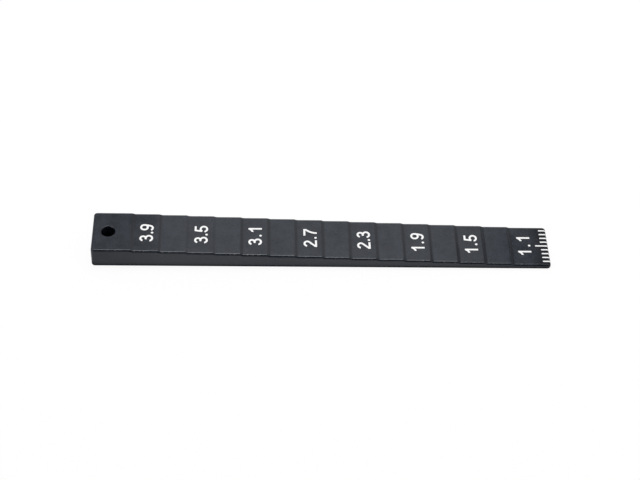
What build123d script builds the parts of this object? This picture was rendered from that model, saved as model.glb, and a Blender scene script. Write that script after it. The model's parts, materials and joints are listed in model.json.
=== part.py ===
from build123d import *
import math
import os

os.makedirs("parts", exist_ok=True)

# Setup gauge: a pocket gauge for small heights, milled from one flat aluminium bar.
# A plain block at the thick end has a hole to hang it by. From the block, the top
# falls in equal risers to the thin end, and each tread's height above the base is
# its reading. The bar is slid under a part until one tread just touches it.
#
# Sizes are in millimetres. The origin is on the base, at the middle of the length
# and of the width. X runs from the thick end to the thin end, and Z is up.

# Readings
lowest_reading = 1.1
reading_interval = 0.2
reading_count = 15

# Bar, with its lengths counted to the middle of each riser
bar_width = 10.0
thick_end_length = 7.35
tread_length = 5.0
thin_end_length = 7.15

# A riser is no wall but a soft S: a round crest, and below it the round foot that the
# cutter's nose leaves
crest_round = 0.8
cutter_nose_radius = 1.0

# Radii left by the tumbling that takes the burrs off
corner_radius = 0.6
top_edge_round = 0.4
base_edge_round = 0.4

# Hanging hole
hole_diameter = 2.5
hole_setback = 2.9
hole_mouth_round = 0.25

# The top and base rounds together take at most this share of the thinnest wall
wall_share = 0.9

# Heights and lengths that follow from the driving sizes
highest_reading = lowest_reading + (reading_count - 1) * reading_interval
block_height = highest_reading + reading_interval
bar_length = thick_end_length + (reading_count - 1) * tread_length + thin_end_length
thick_end_x = -bar_length / 2
thin_end_x = bar_length / 2

# Slope where a riser's crest runs over into its foot, and how far each reaches from there
riser_slope = math.acos(1 - reading_interval / (crest_round + cutter_nose_radius))
crest_run = crest_round * math.sin(riser_slope)
crest_drop = crest_round * (1 - math.cos(riser_slope))
foot_run = cutter_nose_radius * math.sin(riser_slope)
down_the_riser = Vector(math.cos(riser_slope), 0, -math.sin(riser_slope))

# Edge rounds as the thin end's wall allows them
round_fit = min(1.0, wall_share * lowest_reading / (top_edge_round + base_edge_round))
top_round = top_edge_round * round_fit
base_round = base_edge_round * round_fit

# Smallest upward part of a normal on a face that belongs to the top
facing_up = 0.5

# Largest upright part of a normal on a face that stands square on the base
square_tolerance = 0.001


def side_profile():
    """Outline of the bar from its long side: level treads joined by S-shaped risers."""
    tread_start = Vector(thick_end_x, 0, block_height)
    outline = []
    for riser in range(reading_count):
        middle_x = thick_end_x + thick_end_length + riser * tread_length
        upper_z = block_height - riser * reading_interval
        crest = Vector(middle_x - crest_run, 0, upper_z)
        middle = Vector(middle_x, 0, upper_z - crest_drop)
        foot = Vector(middle_x + foot_run, 0, upper_z - reading_interval)
        outline.append(Line(tread_start, crest))
        outline.append(TangentArc(crest, middle, tangent=(1, 0, 0)))
        outline.append(TangentArc(middle, foot, tangent=down_the_riser))
        tread_start = foot
    thin_top = Vector(thin_end_x, 0, lowest_reading)
    thin_base = Vector(thin_end_x, 0, 0)
    thick_base = Vector(thick_end_x, 0, 0)
    thick_top = Vector(thick_end_x, 0, block_height)
    outline.append(Polyline(tread_start, thin_top, thin_base, thick_base, thick_top))
    return make_face(Curve() + outline)


def stepped_bar():
    """Milled bar, with its four upright corners rounded."""
    bar = extrude(side_profile(), bar_width / 2, both=True)
    return fillet(bar.edges().filter_by(Axis.Z), corner_radius)


def round_rims(bar):
    """Tumbled rounds along the stepped top rim and around the base."""
    top_faces = bar.faces().filter_by(lambda face: face.normal_at().Z > facing_up)
    walls = bar.faces().filter_by(lambda face: abs(face.normal_at().Z) < square_tolerance)
    wall_edges = walls.edges()
    top_rim = [edge for edge in top_faces.edges() if edge in wall_edges]
    bar = fillet(top_rim, top_round)
    base = bar.faces().sort_by(Axis.Z)[0]
    return fillet(base.edges(), base_round)


def drill_hanging_hole(bar):
    """Round hole through the block, on the centre line, with both mouths broken."""
    hole_x = thick_end_x + hole_setback
    drill = Pos(hole_x, 0, block_height / 2) * Cylinder(hole_diameter / 2, 2 * block_height)
    bar = bar - drill
    mouths = bar.edges().filter_by(GeomType.CIRCLE).filter_by(lambda edge: edge.is_closed)
    return fillet(mouths, hole_mouth_round)


gauge_bar = drill_hanging_hole(round_rims(stepped_bar()))
export_step(gauge_bar, "parts/gauge_bar.step")
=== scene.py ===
# %% [markdown]
# Setup gauge: looks
#
# The real object is a pocket gauge for small heights. It is one bar of aluminium,
# milled to a flight of shallow treads, tumbled so that its edges are soft, and
# anodised black. Every second tread carries its height in white numerals, and the
# thin end carries a short scale.
#
# The bar is already modelled to size. This script keeps that solid as it is and adds
# what the solid can't show: the finish of the metal, the white marking, and a small
# studio to see them in. All sizes are in metres, in the solid's own frame: X runs
# from the thick end to the thin end, the camera stands on the -Y side, and Z is up.

# %% Load the bar
import json
import math

import bpy
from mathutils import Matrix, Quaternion, Vector


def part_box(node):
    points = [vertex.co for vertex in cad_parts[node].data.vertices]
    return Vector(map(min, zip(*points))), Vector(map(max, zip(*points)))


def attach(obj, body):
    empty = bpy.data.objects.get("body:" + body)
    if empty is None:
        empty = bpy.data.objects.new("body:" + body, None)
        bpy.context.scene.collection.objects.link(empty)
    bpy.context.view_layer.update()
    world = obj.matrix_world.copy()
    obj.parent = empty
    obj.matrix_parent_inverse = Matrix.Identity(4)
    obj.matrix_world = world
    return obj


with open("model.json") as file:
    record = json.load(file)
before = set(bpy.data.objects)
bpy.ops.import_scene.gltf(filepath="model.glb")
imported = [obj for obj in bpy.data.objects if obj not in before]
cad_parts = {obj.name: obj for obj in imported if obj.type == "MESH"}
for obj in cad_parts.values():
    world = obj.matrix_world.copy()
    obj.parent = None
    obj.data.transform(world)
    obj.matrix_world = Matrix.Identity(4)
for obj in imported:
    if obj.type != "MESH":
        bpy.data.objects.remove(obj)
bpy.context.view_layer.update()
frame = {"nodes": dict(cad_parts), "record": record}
bar = frame["nodes"]["gauge_bar"]
bar_low, bar_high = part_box("gauge_bar")
mm = 0.001
print("bar, in mm:", [round(size / mm, 2) for size in bar_high - bar_low])

# %% [markdown]
# Both the finish and the marking follow the treads. All treads but the last have one
# length, each lies one interval of the readings below the tread before it, and they
# are counted back from the thin end. Lengths run to the middle of a riser. Every
# second tread, from the first one on, carries its reading. The hanging hole is a
# mount, so its place and size come from the record.

# %% Treads and hole, as the solid has them
lowest_reading = 1.1 * mm
reading_interval = 0.2 * mm
reading_count = 15
label_every = 2
tread_length = 5.0 * mm
thin_end_length = 7.15 * mm
bar_end = bar_high.x


def reading(tread):
    """Height of a tread, counted from the thick end."""
    return lowest_reading + (reading_count - 1 - tread) * reading_interval


def tread_start(tread):
    """Where the tread begins, at the middle of the riser above it."""
    return bar_end - thin_end_length - (reading_count - 1 - tread) * tread_length


mounts = {mount["name"]: mount for mount in frame["record"]["mounts"]}
hole_x = mounts["hanging_hole"]["pos_m"][0]
hole_radius = mounts["hanging_hole"]["dims"]["r_mm"] * mm
print("readings, in mm:", round(reading(0) / mm, 1), "to", round(lowest_reading / mm, 1))
print("hole, in mm: radius", round(hole_radius / mm, 2), "at", round(hole_x / mm, 2))

# %% [markdown]
# The camera looks down at 45 degrees, from a little to the left of the middle, and it
# is tilted a few degrees, so that the bar seems to slope down to the right. These
# values come from lining up the bar's ends, step edges and scale with the picture.
# A long lens keeps the far end from shrinking. The film is 36 mm wide for a picture
# that is 640 points wide, so a focal length in points converts to millimetres.

# %% Camera
camera_target = Vector((-0.27 * mm, 2.23 * mm, 0))
camera_distance = 309.8 * mm
camera_elevation = math.radians(44.99)
camera_side_turn = math.radians(3.38)
camera_tilt = math.radians(2.825)
focal_points = 1656.5
picture_width = 640
film_width = 36
sees_from = 10 * mm
sees_to = 20

sight = Vector((
    math.sin(camera_side_turn) * math.cos(camera_elevation),
    math.cos(camera_side_turn) * math.cos(camera_elevation),
    -math.sin(camera_elevation),
))
level = sight.to_track_quat("-Z", "Y")
tilt = Quaternion((0, 0, 1), camera_tilt)

bpy.ops.object.camera_add(location=camera_target - sight * camera_distance)
camera = bpy.context.object
camera.name = "camera"
camera.rotation_euler = (level @ tilt).to_euler()
camera.data.sensor_width = film_width
camera.data.lens = focal_points * film_width / picture_width
camera.data.clip_start = sees_from
camera.data.clip_end = sees_to
bpy.context.scene.camera = camera
print("lens, in mm:", round(camera.data.lens, 2))

# %% [markdown]
# Shader arithmetic is easier to read as an expression than as a list of nodes. A
# Socket wraps one output of a node, and adding or multiplying sockets adds the Math
# nodes. A ramp turns a distance into a soft-edged area, which most of the looks
# below need. Everything else goes through one method of Finish, which sets up a
# node, fills its inputs, and hands back its outputs as sockets.

# %% Shader helpers
class Socket:
    """A number or colour that leaves a shader node."""

    def __init__(self, finish, output):
        self.finish = finish
        self.output = output

    def math(self, operation, *others):
        inputs = dict(enumerate((self, *others)))
        return self.finish.node("ShaderNodeMath", {"operation": operation}, inputs)["Value"]

    def __add__(self, other):
        return self.math("ADD", other)

    def __radd__(self, other):
        return self.math("ADD", other)

    def __sub__(self, other):
        return self.math("SUBTRACT", other)

    def __rsub__(self, other):
        return (self * -1).math("ADD", other)

    def __mul__(self, other):
        return self.math("MULTIPLY", other)

    def __rmul__(self, other):
        return self.math("MULTIPLY", other)

    def limited(self):
        """This number, kept from 0 to 1."""
        return self.math("MINIMUM", 1).math("MAXIMUM", 0)

    def ramp(self, start, end):
        """0 as far as start and 1 from end on. Where end is the smaller one, it is
        1 for small numbers and 0 for large ones."""
        return ((self - start) * (1 / (end - start))).limited()


class Finish:
    """The shader of one material, or of the surroundings, while it is put together."""

    def __init__(self, owner):
        owner.use_nodes = True
        self.tree = owner.node_tree
        self.tree.nodes.clear()

    def node(self, kind, settings=None, inputs=None):
        """Adds a node. Its settings come first, then values or links for its inputs."""
        made = self.tree.nodes.new(kind)
        for name, value in (settings or {}).items():
            setattr(made, name, value)
        for name, value in (inputs or {}).items():
            if isinstance(value, Socket):
                self.tree.links.new(value.output, made.inputs[name])
            else:
                made.inputs[name].default_value = value
        return {output.name: Socket(self, output) for output in made.outputs}

    def mix_colour(self, share, first, second):
        """Colour that goes from first to second as share goes from 0 to 1."""
        made = self.tree.nodes.new("ShaderNodeMix")
        made.data_type = "RGBA"
        colours = [socket for socket in made.inputs if socket.type == "RGBA"]
        self.tree.links.new(share.output, made.inputs["Factor"])
        for socket, colour in zip(colours, (first, second)):
            if isinstance(colour, Socket):
                self.tree.links.new(colour.output, socket)
            else:
                socket.default_value = (*colour, 1)
        result = [socket for socket in made.outputs if socket.type == "RGBA"][0]
        return Socket(self, result)

    def grain(self, size, detail):
        """Soft noise from 0 to 1, whose lumps are about size across."""
        place = self.node("ShaderNodeTexCoord")["Object"]
        inputs = {"Vector": place, "Scale": 1 / size, "Detail": detail}
        return self.node("ShaderNodeTexNoise", inputs=inputs)["Fac"]


print("shader helpers: Socket and Finish")

# %% [markdown]
# The studio is a pale table under one big soft lamp, in a pale room. Black metal
# shows little colour of its own, and what gives it form is what it mirrors. So each
# part of the studio is set up for its reflection in one part of the bar. The treads
# mirror the sky behind the gauge, which stands in for the walls of the room.
#
# The background has to stay white. The sky and the outer table are given a strength
# of 1 for the rays that the camera sees, directly or through a reflection, and the
# light that falls on the gauge is set apart from that.

# %% Sky
white = (1, 1, 1, 1)
sky_light = 0.85

world = bpy.data.worlds.new("studio_sky")
bpy.context.scene.world = world
sky = Finish(world)
ray = sky.node("ShaderNodeLightPath")
sky_is_seen = (ray["Is Camera Ray"] + ray["Is Glossy Ray"] + ray["Is Transmission Ray"]).limited()
sky_strength = sky_is_seen * (1 - sky_light) + sky_light
sky_shader = sky.node("ShaderNodeBackground", inputs={"Color": white, "Strength": sky_strength})
sky.node("ShaderNodeOutputWorld", inputs={"Surface": sky_shader["Background"]})
print("sky: seen at 1, lights the gauge at", sky_light)

# %% [markdown]
# The table is white paper. It lies a hair below the gauge, because two faces in one
# plane would flicker.

# %% Table
table_reach = 12.0
table_drop = 0.02 * mm

bpy.ops.mesh.primitive_plane_add(size=table_reach, location=(0, 0, -table_drop))
table = bpy.context.object
table.name = "table"
table_material = bpy.data.materials.new("table_paper")
table.data.materials.append(table_material)
print("table, in m:", table_reach, "square")

# %% [markdown]
# The paper glows. To the camera it glows fully from 30 cm out, and a little less
# close to the gauge, where the rest is matt paper that takes the gauge's soft shadow.
# What the front face mirrors is that same near paper, so its glow is set for
# reflections too: a shade over white beside the middle of the bar, dimmer towards
# both ends, and dark right at the foot, where the gauge shades it.

# %% Glow of the table
table_white = (0.94, 0.94, 0.94, 1)
glow_near = 0.93
glow_grows_from = 0.12
glow_is_full_at = 0.30
mirrored_beside = 1.19
dims_from = 28 * mm
dimmest_from = 48 * mm
end_dimming = 0.5
foot_dark_to = 0.4 * mm
foot_clear_from = 0.8 * mm

paper = Finish(table_material)
ray = paper.node("ShaderNodeLightPath")
is_seen = ray["Is Camera Ray"]
is_mirrored = ray["Is Glossy Ray"] + ray["Is Transmission Ray"]
place = paper.node("ShaderNodeTexCoord")["Object"]
spot = paper.node("ShaderNodeSeparateXYZ", inputs={"Vector": place})
reach = paper.node("ShaderNodeVectorMath", {"operation": "LENGTH"}, {0: place})["Value"]
outward = reach.ramp(glow_grows_from, glow_is_full_at)
near = 1 - outward
from_middle = spot["X"].math("ABSOLUTE")
ends = from_middle.ramp(dims_from, dimmest_from)
beside = spot["Y"].math("ABSOLUTE") - bar_high.y
from_foot = beside.math("MAXIMUM", from_middle - bar_high.x)
clear = from_foot.ramp(foot_dark_to, foot_clear_from)
mirrored = (mirrored_beside - ends * end_dimming) * clear
strength = 1 + is_mirrored * near * (mirrored - 1)
glow_share = is_mirrored + is_seen * (outward + near * glow_near)
matt = paper.node("ShaderNodeBsdfDiffuse", inputs={"Color": table_white})
glow = paper.node("ShaderNodeEmission", inputs={"Color": white, "Strength": strength})
surface = paper.node(
    "ShaderNodeMixShader",
    inputs={0: glow_share, 1: matt["BSDF"], 2: glow["Emission"]},
)
paper.node("ShaderNodeOutputMaterial", inputs={"Surface": surface["Shader"]})
print("near the gauge the table glows at", glow_near)

# %% [markdown]
# The lamp hangs over the gauge, a little to its far side. It is soft, so that the
# shadow is, and its reflection is the light line along the near rim. The same watts
# from a smaller lamp would make that line brighter, and the shadow harder.

# %% Lamp
lamp_height = 0.55
lamp_back = 0.13
lamp_size = 0.22
lamp_watts = 1.45

bpy.ops.object.light_add(type="AREA", location=(0, lamp_back, lamp_height))
lamp = bpy.context.object
lamp.name = "soft_lamp"
lamp.data.shape = "SQUARE"
lamp.data.size = lamp_size
lamp.data.energy = lamp_watts
lamp.visible_camera = False
lamp_angle = 2 * math.degrees(math.atan(lamp_size / 2 / lamp_height))
print("lamp seen from the gauge, in degrees:", round(lamp_angle))

# %% [markdown]
# Black things are lit with dark cards as much as with lamps. A tall dark screen in
# front, behind the camera, draws the dark line below the light one on the near rim.
# A low flag stands close behind each end of the bar, and the end treads mirror it and
# turn a shade darker. The right flag is nearly black but hangs off the table, so that
# the risers, which mirror what is low, stay as they are. Only reflections see the
# flags, and the camera sees none of the three.

# %% Dark screen and flags
# Where the middle of each card's lower edge is, its width and its height, all in
# metres, and how bright it is beside the sky. The cards stand in line with the bar.
cards = {
    "front_screen": ((0, -0.36, 0), 0.60, 1.25, 0.01),
    "left_flag": ((-0.0755, 0.012, 0), 0.089, 0.045, 0.47),
    "right_flag": ((0.0905, 0.020, 0.0135), 0.107, 0.070, 0.12),
}

for name, (foot, width, height, shade) in cards.items():
    card_material = bpy.data.materials.new(name + "_card")
    card = Finish(card_material)
    face = card.node("ShaderNodeEmission", inputs={"Color": white, "Strength": shade})
    card.node("ShaderNodeOutputMaterial", inputs={"Surface": face["Emission"]})
    bpy.ops.mesh.primitive_plane_add(size=1)
    screen = bpy.context.object
    screen.name = name
    screen.scale = (width, height, 1)
    screen.rotation_euler.x = math.radians(90)
    screen.location = Vector(foot) + Vector((0, 0, height / 2))
    screen.data.materials.append(card_material)
    screen.visible_camera = False
    if name.endswith("flag"):
        screen.visible_diffuse = False
        screen.visible_shadow = False
    print(name, "is", round(width / mm), "by", round(height / mm), "mm")

# %% [markdown]
# Black anodising is a clear glassy layer with dye in it, grown on metal that was
# blasted or tumbled first. So it isn't a metal to the shader: it is a very dark,
# slightly blue base under a plain satin gloss. It isn't even, either. Broad fades and
# small clouds come from the dye bath and from fingers, and the blasted grain, a fifth
# of a millimetre across, is a soft sparkle.

# %% Unevenness of the black
fade_size = 11 * mm
cloud_size = 2.2 * mm
grain_size = 0.20 * mm
noise_middle = 0.5

anodised = bpy.data.materials.new("black_anodised_satin")
metal = Finish(anodised)
fades = metal.grain(fade_size, detail=1)
clouds = metal.grain(cloud_size, detail=3)
grain = metal.grain(grain_size, detail=2)


def unevenness(of_fades, of_clouds, of_grain):
    """The three noises added up about zero, each with its own weight."""
    faded = (fades - noise_middle) * of_fades
    clouded = (clouds - noise_middle) * of_clouds
    return faded + clouded + (grain - noise_middle) * of_grain


noise_sizes = [fade_size, cloud_size, grain_size]
print("fades, clouds and grain, in mm:", [round(size / mm, 1) for size in noise_sizes])

# %% [markdown]
# The bar isn't the same black all over. Partly each surface was cut and tumbled in its
# own way, and partly shade and light are painted into its colour. A painter would mask
# these areas off. Here each mask is worked out from where a point lies and which way it
# faces, so it fits the solid without any drawing:
#
# - bare treads, without a number, are a shade lighter than the numbered ones
# - risers tilt towards the thin end and are painted darker, as painted shade for the
#   dark surroundings they mirror, so they show as blacker lines; all but two near the
#   thick end, at both ends of one tread, where a painted highlight lifts them nearly
#   as pale as the treads
# - rims face halfway between sideways and up, and are burnished smooth
# - the shoulder is the upper half of a rim, where the light line runs and where most
#   of the small knocks land
# - the bore is smooth too, and painted a little blacker than the treads, as painted
#   shade inside the hole
# - the top of the thin end, under the scale, is painted darkest, as painted shade

# %% Masks
riser_contrast = 3
# Where a painted highlight lifts the risers' painted shade, around one tread near the thick end
sheen_tread = 2
sheen_middle = tread_start(sheen_tread) + tread_length / 2
sheen_reach = 1.5 * tread_length
full_sheen_reach = 0.5 * tread_length
sheen_lift = 0.85
shoulder_steepness = 4
shoulder_gain = 2.4
bore_blend = 0.1 * mm
blackens_within = 3.4 * mm
blackest_within = 1.2 * mm

place = metal.node("ShaderNodeTexCoord")["Object"]
spot = metal.node("ShaderNodeSeparateXYZ", inputs={"Vector": place})
facing = metal.node("ShaderNodeNewGeometry")["Normal"]
axes = metal.node("ShaderNodeSeparateXYZ", inputs={"Vector": facing})

counted = ((spot["X"] - tread_start(0)) * (1 / tread_length)).math("FLOOR")
tread_number = counted.math("MAXIMUM", 0).math("MINIMUM", reading_count - 1)
upward = axes["Z"].limited()
bare = tread_number.math("FLOORED_MODULO", label_every) * upward
# Painted highlight: the risers' painted shade is lifted around one tread near the thick end.
from_sheen = (spot["X"] - sheen_middle).math("ABSOLUTE")
riser_sheen = from_sheen.ramp(sheen_reach, full_sheen_reach)
# Painted shade: the risers are darkened for the dark surroundings that they mirror.
riser = (riser_contrast * axes["X"] * axes["Z"]).limited() * (1 - riser_sheen * sheen_lift)
rim = (2 * axes["Y"] * axes["Z"]).math("POWER", 2).limited()
shoulder = (rim * axes["Z"].math("POWER", shoulder_steepness) * shoulder_gain).limited()
along = spot["X"] - hole_x
off_axis = (along * along + spot["Y"] * spot["Y"]).math("SQRT")
bore = off_axis.ramp(hole_radius + bore_blend, hole_radius)
# Painted shade: the top of the thin end, under the scale, is darkened.
thin_end = (bar_end - spot["X"]).ramp(blackens_within, blackest_within) * upward
print("nodes behind the masks:", len(anodised.node_tree.nodes))

# %% [markdown]
# The colour is mixed in three steps, as glazes would be: from dark to light by the
# unevenness and the bare treads, then pale on a few nicks of the rims, which are worn
# metal and also a painted highlight on the light line, then sunk to the deepest black
# by the painted shade of the masks. The nicks are one more noise, cut off high, so
# that only its peaks are left.

# %% Dye and painted shade
dye_dark = (0.0089, 0.0122, 0.0191)
dye_light = (0.0197, 0.0250, 0.0357)
# Black of the painted shade
shade_black = (0.001, 0.003, 0.007)
# Pale of the nicks: worn metal, and also a painted highlight on the light line
worn_and_glint = (0.085, 0.085, 0.088)
dye_unevenness = (0.4, 1.6, 2.8)
bare_shade = 0.28
riser_shade_depth = 0.9
# How far the bore is sunk towards black, a painted shade inside the hole
bore_shade_depth = 0.4
nick_size = 0.55 * mm
nicks_above = 0.60
nick_contrast = 9

numbered_share = (1 - bare_shade) / 2
dye_share = (unevenness(*dye_unevenness) + bare * bare_shade + numbered_share).limited()
# The nicks are partly wear and partly a painted highlight along the light line on the shoulder.
nicks_and_glints = ((metal.grain(nick_size, detail=1) - nicks_above) * nick_contrast).limited() * shoulder
# Painted shade: the risers, the bore and the top of the thin end sunk towards black.
painted_shade = (riser * riser_shade_depth + bore * bore_shade_depth + thin_end).limited()
bath = metal.mix_colour(dye_share, dye_dark, dye_light)
dye = metal.mix_colour(painted_shade, metal.mix_colour(nicks_and_glints, bath, worn_and_glint), shade_black)
print("dye of a numbered tread:", numbered_share, "of the way from dark to light")

# %% [markdown]
# Tumbling did more to the rims than smooth them. It left small dents, which break up
# the light line along the near edge. A dent that small is finer than any mesh should
# be, so it is a bump, as the blasted grain is.

# %% Black anodised metal
layer_ior = 1.40
roughness_mean = 0.36
roughness_unevenness = (0.10, 0.20, 0.24)
burnish = 0.2
dent_size = 0.42 * mm
dent_relief = 9
grain_relief = 0.5
relief_depth = 0.012 * mm
relief_strength = 0.35

roughness = roughness_mean + unevenness(*roughness_unevenness) - (rim + bore) * burnish
dents = metal.grain(dent_size, detail=1) * shoulder
bump = metal.node(
    "ShaderNodeBump",
    inputs={
        "Strength": relief_strength,
        "Distance": relief_depth,
        "Height": grain * grain_relief + dents * dent_relief,
    },
)
skin = metal.node(
    "ShaderNodeBsdfPrincipled",
    inputs={
        "Base Color": dye,
        "Roughness": roughness,
        "IOR": layer_ior,
        "Normal": bump["Normal"],
    },
)
metal.node("ShaderNodeOutputMaterial", inputs={"Surface": skin["BSDF"]})
for slot in bar.material_slots:
    slot.material = anodised
print("bar finish:", [slot.material.name for slot in bar.material_slots])

# %% [markdown]
# The marking is white and matt. On the real gauge it is burnt into the black layer by
# a laser, or printed, and either way it has no thickness that a finger would feel.
# Here it is a film a hundredth of a millimetre proud of the tread, so that it is
# real geometry from every side and still looks flush.

# %% White marking
speckle_size = 0.08 * mm
patch_size = 0.6 * mm
paint_dark = (0.84, 0.84, 0.84)
paint_light = (0.92, 0.92, 0.92)
of_speckle = 0.9
of_patches = 0.5
paint_roughness = 0.55
roughness_of_speckle = 0.2
paint_relief = 0.006 * mm
paint_relief_strength = 0.25

marking = bpy.data.materials.new("white_marking_matt")
paint = Finish(marking)
speckle = paint.grain(speckle_size, detail=2)
patches = paint.grain(patch_size, detail=1)
speckled = speckle - noise_middle
patched = patches - noise_middle
paint_share = (speckled * of_speckle + patched * of_patches + noise_middle).limited()
paint_bump = paint.node(
    "ShaderNodeBump",
    inputs={
        "Strength": paint_relief_strength,
        "Distance": paint_relief,
        "Height": speckle,
    },
)
coat = paint.node(
    "ShaderNodeBsdfPrincipled",
    inputs={
        "Base Color": paint.mix_colour(paint_share, paint_dark, paint_light),
        "Roughness": paint_roughness + speckled * roughness_of_speckle,
        "Normal": paint_bump["Normal"],
    },
)
paint.node("ShaderNodeOutputMaterial", inputs={"Surface": coat["BSDF"]})
print("marking finish:", marking.name)

# %% [markdown]
# The numerals have one stroke width all over, so they can be drawn as with a flat
# nib. The alternative would be a font, but the built-in one has a foot on its 1 and
# thinner strokes. Strokes that are square to the tread are plain plates.
#
# Numerals look best when their level strokes are a little thinner than their upright
# ones. So each numeral is drawn too tall, with round bends and one nib, and is
# pressed to its height at the end, which thins the level strokes.

# %% Square strokes
nib = 0.40 * mm
numeral_height = 2.46 * mm
press = 0.9
drawn_height = numeral_height / press


def select_only(piece):
    """Makes piece the one selected and active object."""
    bpy.ops.object.select_all(action="DESELECT")
    piece.select_set(True)
    bpy.context.view_layer.objects.active = piece


def plate(centre, size, turned=0):
    """Flat rectangle on the drawing plane, turned by an angle in radians."""
    bpy.ops.object.select_all(action="DESELECT")
    bpy.ops.mesh.primitive_plane_add(size=1)
    piece = bpy.context.object
    piece.scale = (*size, 1)
    piece.rotation_euler.z = turned
    piece.location = (*centre, 0)
    bpy.ops.object.transform_apply(location=True, rotation=True, scale=True)
    return piece


def level_bar(left, low, right, high):
    """Stroke that is square to the tread, between two sides and two heights."""
    return plate(((left + right) / 2, (low + high) / 2), (right - left, high - low))


print("nib, in mm:", round(nib / mm, 2), "with numerals drawn", round(drawn_height / mm, 2))

# %% [markdown]
# A stroke with bends starts as a very short plate, the lead, as wide as the nib. Its
# front edge is then extruded along the straights and spun round the bends. Where a
# stroke has to end on a line, it is drawn too long and cut off there with bisect.

# %% Nib strokes
lead = nib / 20
degrees_a_step = 9
same_place = 0.0001 * mm


def stroke(start, heading, path):
    """Stroke from start, with headings and turns in degrees. Each step of path is a
    length and a turn: with no turn the stroke runs straight, and with one it bends,
    to the right where the turn is positive, and the length is then the radius of the
    bend."""
    at = Vector((*start, 0))
    heading = math.radians(heading)
    along = Vector((math.cos(heading), math.sin(heading), 0))
    piece = plate((at - along * lead / 2).xy, (lead, nib), heading)
    bpy.ops.object.mode_set(mode="EDIT")
    bpy.ops.mesh.select_all(action="DESELECT")
    bpy.ops.object.mode_set(mode="OBJECT")
    for vertex in piece.data.vertices:
        vertex.select = (vertex.co - at).dot(along) > -lead / 2
    bpy.ops.object.mode_set(mode="EDIT")
    for length, turn in path:
        along = Vector((math.cos(heading), math.sin(heading), 0))
        if turn == 0:
            bpy.ops.mesh.extrude_region_move(TRANSFORM_OT_translate={"value": along * length})
            at = at + along * length
            continue
        right_hand = Vector((along.y, -along.x, 0))
        centre = at + right_hand * math.copysign(length, turn)
        bpy.ops.mesh.spin(
            steps=max(2, round(abs(turn) / degrees_a_step)),
            angle=math.radians(turn),
            center=centre,
            axis=(0, 0, 1),
        )
        at = centre + Quaternion((0, 0, 1), -math.radians(turn)) @ (at - centre)
        heading -= math.radians(turn)
    bpy.ops.object.mode_set(mode="OBJECT")
    return piece


def cut(piece, place, outward):
    """Cuts off what lies outward of a line through place."""
    select_only(piece)
    bpy.ops.object.mode_set(mode="EDIT")
    bpy.ops.mesh.select_all(action="SELECT")
    bpy.ops.mesh.bisect(
        plane_co=(*place, 0),
        plane_no=(*outward, 0),
        clear_outer=True,
        threshold=same_place,
    )
    bpy.ops.object.mode_set(mode="OBJECT")


# %% [markdown]
# Strokes that cross would leave faces inside each other. So each flat stroke is first
# extruded to the thickness of the film, and the strokes of a numeral are then welded
# by Boolean unions. The weld leaves its faces split along the old stroke edges, and a
# limited dissolve takes those lines away.

# %% Weld strokes into a numeral
film_proud = 0.012 * mm
film_sunk = 0.008 * mm
flat_within = math.radians(0.5)


def thicken(piece):
    """Makes a flat stroke a closed film."""
    select_only(piece)
    bpy.ops.object.mode_set(mode="EDIT")
    bpy.ops.mesh.select_all(action="SELECT")
    bpy.ops.mesh.remove_doubles(threshold=same_place)
    bpy.ops.transform.translate(value=(0, 0, -film_sunk))
    rise = (0, 0, film_sunk + film_proud)
    bpy.ops.mesh.extrude_region_move(TRANSFORM_OT_translate={"value": rise})
    bpy.ops.mesh.select_all(action="SELECT")
    bpy.ops.mesh.normals_make_consistent(inside=False)
    bpy.ops.object.mode_set(mode="OBJECT")


def weld(name, strokes):
    """One closed numeral, pressed to its height, with its lower left corner at 0."""
    for piece in strokes:
        thicken(piece)
    numeral = strokes[0]
    for piece in strokes[1:]:
        union = numeral.modifiers.new("weld", "BOOLEAN")
        union.operation = "UNION"
        union.solver = "EXACT"
        union.object = piece
        select_only(numeral)
        bpy.ops.object.modifier_apply(modifier=union.name)
        bpy.data.objects.remove(piece)
    select_only(numeral)
    bpy.ops.object.mode_set(mode="EDIT")
    bpy.ops.mesh.select_all(action="SELECT")
    bpy.ops.mesh.dissolve_limited(angle_limit=flat_within)
    bpy.ops.transform.resize(value=(1, press, 1), center_override=(0, 0, 0))
    bpy.ops.object.mode_set(mode="OBJECT")
    numeral.name = "numeral_" + name
    across = [vertex.co.x for vertex in numeral.data.vertices]
    print(name, "is", round((max(across) - min(across)) / mm, 2), "mm wide")
    return numeral


# %% [markdown]
# Each numeral is a few strokes on a grid whose origin is its lower left corner.
# A bowl's radius runs to the middle of the stroke. A bowl starts at an angle round
# its centre, and going right round it means heading a quarter turn less than that
# angle. Round numerals stand a hair below the line and reach a hair above their
# height, as in any type, because otherwise they look too small.

# %% The six numerals and the point
overshoot = 0.02 * mm
half_nib = nib / 2
stop_sides = 32


def bowl(centre, radius, start, turn, then=()):
    """Round stroke clockwise about centre, from the angle start."""
    angle = math.radians(start)
    first = (centre[0] + radius * math.cos(angle), centre[1] + radius * math.sin(angle))
    return stroke(first, start - 90, [(radius, turn), *then])


def one():
    """Upright stem, and a flag that rises in a curve to its top."""
    stem_left = 0.62 * mm
    stem_right = stem_left + nib
    stem = level_bar(stem_left, 0, stem_right, drawn_height)
    flag_start = (-0.15 * mm, 1.86 * mm)
    flag_path = [(0.15 * mm, 0), (1.05 * mm, -44), (0.5 * mm, 0)]
    flag = stroke(flag_start, heading=12, path=flag_path)
    cut(flag, (0, 0), (-1, 0))
    cut(flag, (0, drawn_height), (0, 1))
    cut(flag, (stem_right - half_nib, 0), (1, 0))
    return weld("one", [stem, flag])


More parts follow.
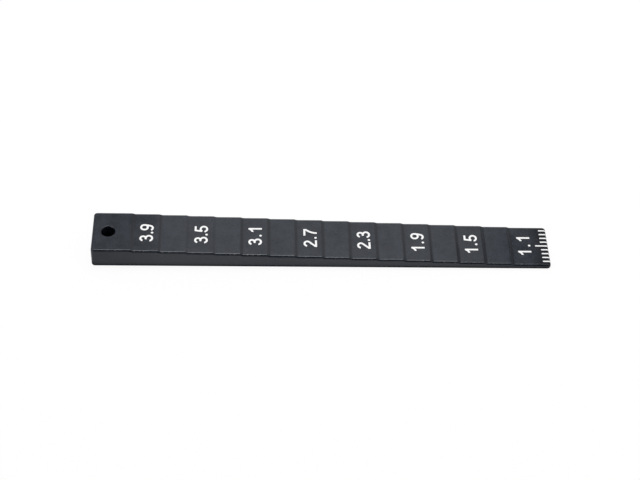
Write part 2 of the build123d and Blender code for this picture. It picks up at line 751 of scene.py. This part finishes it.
def two():
    """Bowl that runs down in a slant to the left end of a foot."""
    radius = 0.58 * mm
    centre = (0.85 * mm, drawn_height + overshoot - radius - half_nib)
    slant = bowl(centre, radius, start=172, turn=213, then=[(1.9 * mm, 0)])
    cut(slant, (0, 0), (-1, 0))
    cut(slant, (0, half_nib), (0, -1))
    foot_right = 1.70 * mm
    foot = level_bar(0, 0, foot_right, nib)
    return weld("two", [slant, foot])


def three():
    """Two open bowls, the lower one larger, that share a short waist."""
    lower_radius = 0.65 * mm
    lower_centre = (0.86 * mm, lower_radius + half_nib - overshoot)
    waist = lower_centre[1] + lower_radius
    upper_radius = (drawn_height + overshoot - half_nib - waist) / 2
    upper_centre = (0.83 * mm, waist + upper_radius)
    waist_left = 0.58 * mm
    to_waist_left = [(upper_centre[0] - waist_left, 0)]
    upper = bowl(upper_centre, upper_radius, start=168, turn=258, then=to_waist_left)
    lower = bowl(lower_centre, lower_radius, start=90, turn=258)
    return weld("three", [upper, lower])


def five():
    """Flag on top, a slanted stem down its left, and one large open bowl."""
    radius = 0.66 * mm
    centre = (0.86 * mm, radius + half_nib - overshoot)
    round_part = bowl(centre, radius, start=146, turn=314)
    flag_left = 0.34 * mm
    flag_right = 1.58 * mm
    flag = level_bar(flag_left, drawn_height - nib, flag_right, drawn_height)
    stem_foot = (0.33 * mm, 1.18 * mm)
    stem = stroke(stem_foot, heading=83, path=[(1.4 * mm, 0)])
    cut(stem, (0, drawn_height), (0, 1))
    return weld("five", [round_part, flag, stem])


def seven():
    """Flag on top, and a stem that falls from its right end in a long curve."""
    right = 1.70 * mm
    flag = level_bar(0, drawn_height - nib, right, drawn_height)
    stem_foot = (0.66 * mm, 0)
    stem = stroke(stem_foot, heading=90, path=[(3.3 * mm, 36), (1.2 * mm, 0)])
    cut(stem, (right, 0), (1, 0))
    cut(stem, (0, drawn_height), (0, 1))
    return weld("seven", [flag, stem])


def nine():
    """Closed bowl, and a tail that falls from its right side and hooks to the left."""
    radius = 0.60 * mm
    side = 0.15 * mm
    top = (0.83 * mm, drawn_height + overshoot - radius - half_nib)
    lower_half = [(side, 0), (radius, 180), (side - lead, 0)]
    closed = bowl(top, radius, start=180, turn=180, then=lower_half)
    fall = top[1] - half_nib + overshoot
    hook_radius = 0.56 * mm
    hook_turn = 136
    long_turn = 20
    bend = math.radians(long_turn)
    long_radius = (fall - hook_radius * (1 - math.sin(bend))) / math.sin(bend)
    tail_start = (top[0] + radius, top[1])
    tail_path = [(long_radius, long_turn), (hook_radius, hook_turn)]
    tail = stroke(tail_start, heading=-90, path=tail_path)
    return weld("nine", [closed, tail])


def point():
    """Round stop on the line, drawn too tall like the numerals and pressed with them."""
    radius = 0.235 * mm
    bpy.ops.object.select_all(action="DESELECT")
    bpy.ops.mesh.primitive_circle_add(vertices=stop_sides, radius=radius, fill_type="NGON")
    stop = bpy.context.object
    stop.scale.y = 1 / press
    stop.location = (radius, radius / press, 0)
    bpy.ops.object.transform_apply(location=True, rotation=True, scale=True)
    return weld("point", [stop])


numerals = {
    "1": one(),
    "2": two(),
    "3": three(),
    "5": five(),
    "7": seven(),
    "9": nine(),
    ".": point(),
}

# %% [markdown]
# Every second tread has its height written across it, from the near side to the far
# side, with the numerals' heads towards the thick end. The labels fill about the same
# field, but they were set by hand or by a loose jig: each sits a tenth of a millimetre
# off here or there, and the point follows the numerals beside it. So each label has
# its own four places, scaled from the picture. Each label is one piece, made of copies
# of the numerals with their own meshes.

# %% Labels
# Near side, middle of the point and far side, all from the centre line, and then the
# heads' distance from the riser, all in mm
label_places = {
    "3.9": (-2.38, -0.09, 2.10, 1.36),
    "3.5": (-2.36, -0.10, 2.19, 1.34),
    "3.1": (-2.32, 0.14, 2.13, 1.27),
    "2.7": (-2.28, 0.09, 2.36, 1.43),
    "2.3": (-2.26, 0.02, 2.26, 1.35),
    "1.9": (-2.30, -0.13, 2.32, 1.40),
    "1.5": (-2.30, -0.10, 2.34, 1.40),
    "1.1": (-2.34, 0.06, 2.26, 1.38),
}


def place_numeral(sign, side, at, baseline, height):
    """Copy of a numeral laid on a tread, with its near side, middle or far side put
    at a distance from the centre line."""
    piece = numerals[sign].copy()
    piece.data = piece.data.copy()
    bpy.context.collection.objects.link(piece)
    across = [vertex.co.x for vertex in piece.data.vertices]
    near = min(across)
    far = max(across)
    own = {"near": near, "middle": (near + far) / 2, "far": far}[side]
    select_only(piece)
    piece.rotation_euler.z = math.radians(90)
    piece.location = (baseline, at - own, height)
    bpy.ops.object.transform_apply(location=True, rotation=True, scale=True)
    return piece


def join(name, parts):
    """One piece from several."""
    select_only(parts[0])
    for part in parts[1:]:
        part.select_set(True)
    bpy.ops.object.join()
    parts[0].name = name
    return parts[0]


def finish_marking(piece):
    """Gives a piece of the marking its finish and its place on the gauge."""
    piece.data.materials.clear()
    piece.data.materials.append(marking)
    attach(piece, "root")


for tread in range(0, reading_count, label_every):
    text = f"{reading(tread) / mm:.1f}"
    *places, heads = [place * mm for place in label_places[text]]
    baseline = tread_start(tread) + heads + numeral_height
    parts = []
    for sign, side, at in zip(text, ("near", "middle", "far"), places):
        parts.append(place_numeral(sign, side, at, baseline, reading(tread)))
    label = join("reading_" + text.replace(".", "_"), parts)
    finish_marking(label)
    print(label.name, "starts", round(tread_start(tread) / mm, 2), "mm along")

for numeral in numerals.values():
    bpy.data.objects.remove(numeral)

# %% [markdown]
# The scale on the thin end has nine lines a millimetre apart, and the middle one is
# longer. They run over the rounded rim of the end, so a flat film would hang in the
# air there. Each line is a plate cut up finely, which a Shrinkwrap modifier lays on
# the bar from above before it gets its thickness.

# %% Scale at the thin end
line_count = 9
line_spacing = 1.0 * mm
line_width = 0.31 * mm
short_line = 1.33 * mm
long_line = 2.33 * mm
end_gap = 0.10 * mm
strip_cuts = 24
laid_from = 2 * lowest_reading


def scale_line(place, length):
    """Strip from just inside the end of the bar, length along it, draped on it."""
    line_end = bar_end - end_gap
    strip = plate((line_end - length / 2, place), (length, line_width))
    select_only(strip)
    bpy.ops.object.mode_set(mode="EDIT")
    bpy.ops.mesh.select_all(action="SELECT")
    bpy.ops.mesh.subdivide(number_cuts=strip_cuts)
    bpy.ops.transform.translate(value=(0, 0, laid_from))
    bpy.ops.object.mode_set(mode="OBJECT")
    drape = strip.modifiers.new("drape", "SHRINKWRAP")
    drape.target = bar
    drape.wrap_method = "PROJECT"
    drape.use_project_z = True
    drape.use_negative_direction = True
    drape.use_positive_direction = False
    bpy.ops.object.modifier_apply(modifier=drape.name)
    body = strip.modifiers.new("body", "SOLIDIFY")
    body.thickness = film_proud + film_sunk
    body.offset = (film_proud - film_sunk) / (film_proud + film_sunk)
    bpy.ops.object.modifier_apply(modifier=body.name)
    return strip


lines = []
for number in range(line_count):
    place = (number - (line_count - 1) / 2) * line_spacing
    is_middle = number == (line_count - 1) // 2
    lines.append(scale_line(place, long_line if is_middle else short_line))
end_scale = join("end_scale", lines)
finish_marking(end_scale)
print("scale:", line_count, "lines,", len(end_scale.data.polygons), "faces")

# %% [markdown]
# Last, the colour transform is set to Standard, so that a colour shows as it is written.

# %% Finish
bpy.context.scene.view_settings.view_transform = "Standard"
